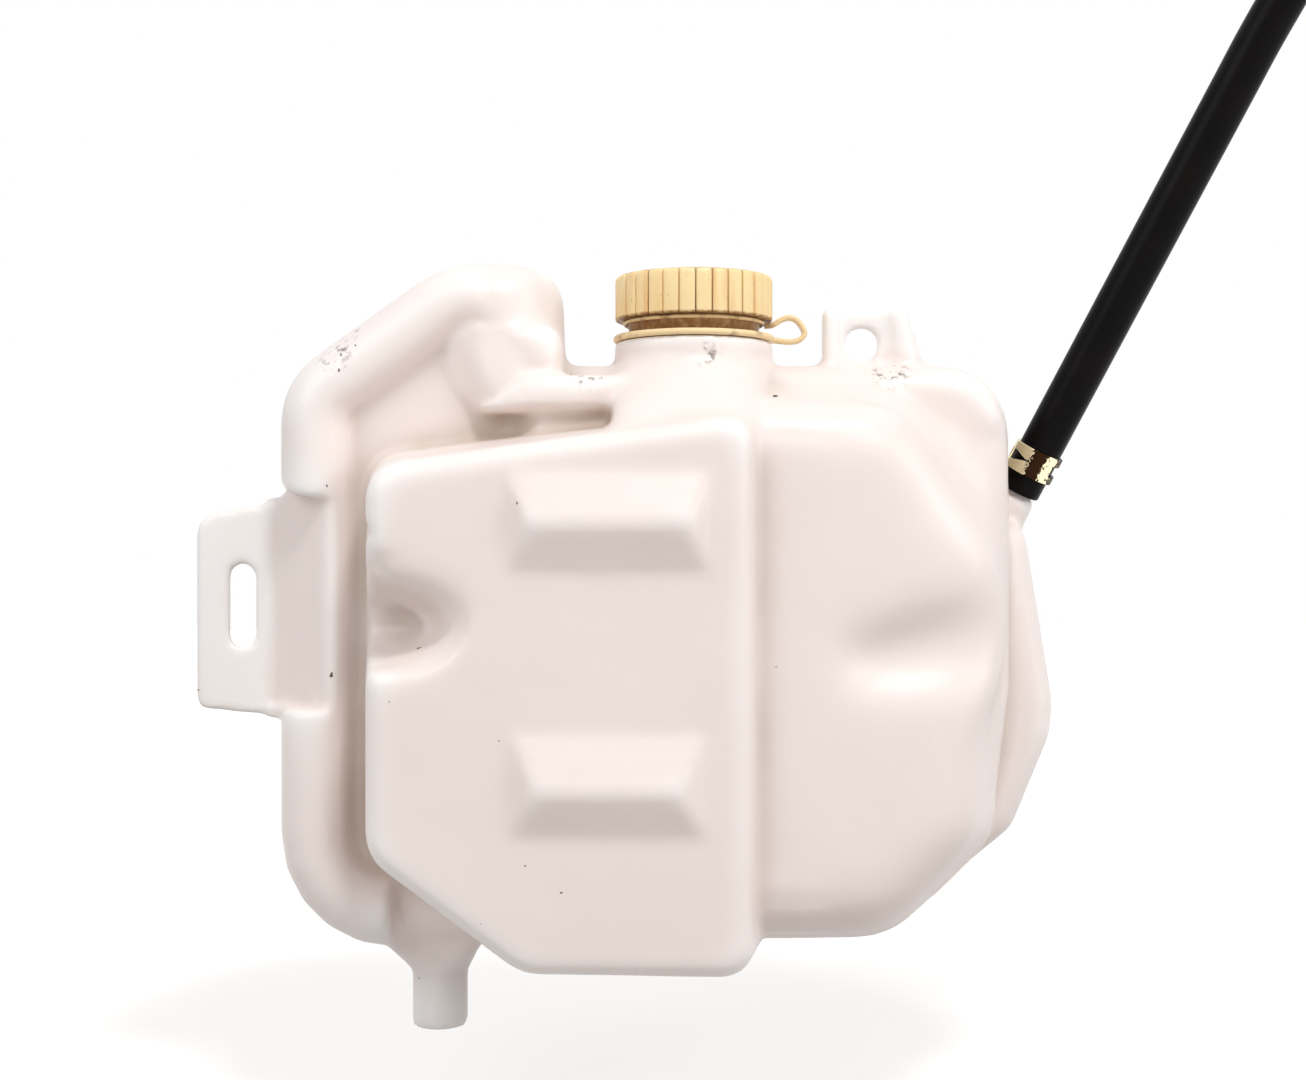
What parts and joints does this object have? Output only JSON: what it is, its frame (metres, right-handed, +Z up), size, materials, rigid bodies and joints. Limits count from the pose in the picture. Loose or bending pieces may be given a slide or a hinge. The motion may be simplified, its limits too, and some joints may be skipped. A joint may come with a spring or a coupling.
{
  "type": "coolant expansion tank",
  "caption": "Translucent blow-moulded coolant expansion tank with a ribbed screw cap on a tether, two fixing ears, a bottom outlet and a clamped overflow hose.",
  "frame": {"origin": "centre of the fixing hole in the upper ear, in the moulding's parting plane", "axes": "+Z up as fitted, towards the filler cap; -Y towards the front face with the two pads; +X towards the hose"},
  "size_m": [0.3572, 0.1, 0.3477],
  "materials": {
    "tank_plastic": "moulded, translucent",
    "cap_plastic": "moulded, aged",
    "seal_rubber": "smooth",
    "tether_plastic": "moulded, aged",
    "hose_rubber": "satin",
    "clamp_steel": "yellow zinc"
  },
  "bodies": {
    "root": {"tank_body": "tank_plastic", "overflow_hose": "hose_rubber", "hose_clamp": "clamp_steel"},
    "tether": {"cap_tether": "tether_plastic"},
    "seal": {"cap_seal": "seal_rubber"},
    "cap": {"filler_cap": "cap_plastic"}
  },
  "joints": [
    {"name": "tether_turn", "type": "hinge", "parent": "root", "child": "tether", "pos_m": [-0.0533, 0, 0.0015], "axis": [0, 0, 1], "continuous": true},
    {"name": "cap_rise", "type": "slide", "parent": "root", "child": "seal", "axis": [0, 0, 1], "range_m": [0, 0.004]},
    {"name": "cap_turn", "type": "hinge", "parent": "seal", "child": "cap", "pos_m": [-0.0533, 0, 0.0145], "axis": [0, 0, 1], "range_deg": [0, 360]}
  ],
  "couplings": [
    {"joint": "cap_rise", "follows": "cap_turn", "m_per_rad": 0.000636}
  ]
}
